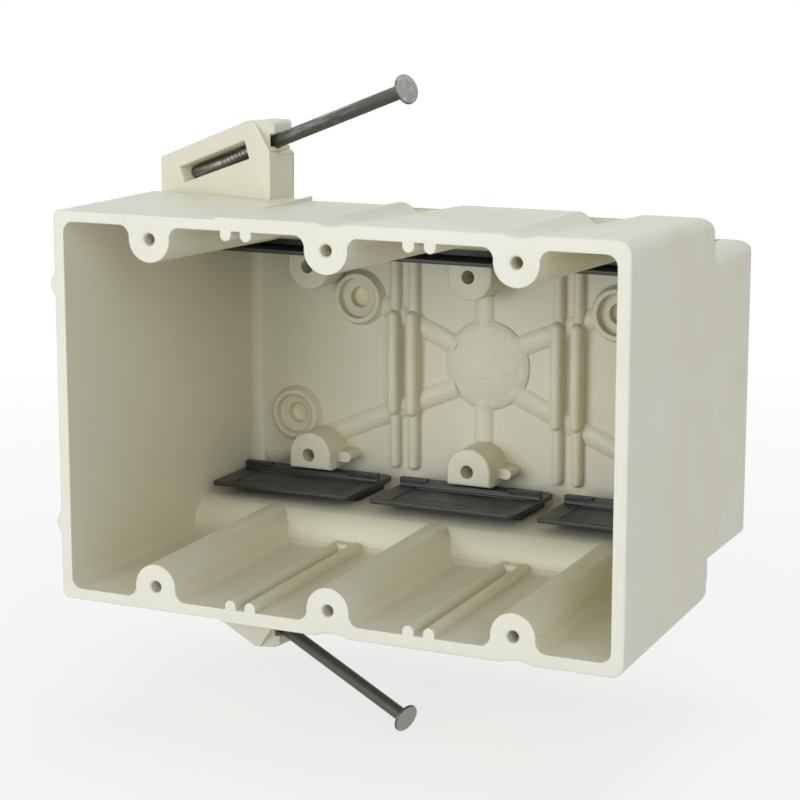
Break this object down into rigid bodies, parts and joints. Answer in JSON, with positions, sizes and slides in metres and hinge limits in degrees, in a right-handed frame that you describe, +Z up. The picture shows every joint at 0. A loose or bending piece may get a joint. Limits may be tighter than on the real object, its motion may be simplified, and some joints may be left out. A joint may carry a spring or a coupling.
{
  "type": "new work outlet box",
  "caption": "Moulded nail-on outlet box for several wiring devices, with a stepped rear section, cable clamps and captive slanted nails.",
  "frame": {"origin": "centre of the opening, midway between the two device screws of the middle gang, in the plane of the rim", "axes": "+X along the opening away from the stud, +Y into the box, +Z up"},
  "size_m": [0.1456, 0.092, 0.1586],
  "materials": {
    "box_plastic": "satin ivory moulding",
    "clamp_plastic": "satin black",
    "nail_steel": "bright drawn wire, slightly worn"
  },
  "bodies": {
    "box": {"box_body": "box_plastic", "cable_clamp_bottom_1": "clamp_plastic", "cable_clamp_bottom_2": "clamp_plastic", "cable_clamp_bottom_3": "clamp_plastic", "cable_clamp_top_1": "clamp_plastic", "cable_clamp_top_2": "clamp_plastic", "cable_clamp_top_3": "clamp_plastic"},
    "nail_top": {"nail_top": "nail_steel"},
    "nail_bottom": {"nail_bottom": "nail_steel"}
  },
  "joints": [
    {"name": "nail_top_drive", "type": "slide", "parent": "box", "child": "nail_top", "axis": [-0.9049, 0.2818, -0.319], "range_m": [0, 0.0405]},
    {"name": "nail_bottom_drive", "type": "slide", "parent": "box", "child": "nail_bottom", "axis": [-0.9049, 0.2818, 0.319], "range_m": [0, 0.0405]}
  ]
}
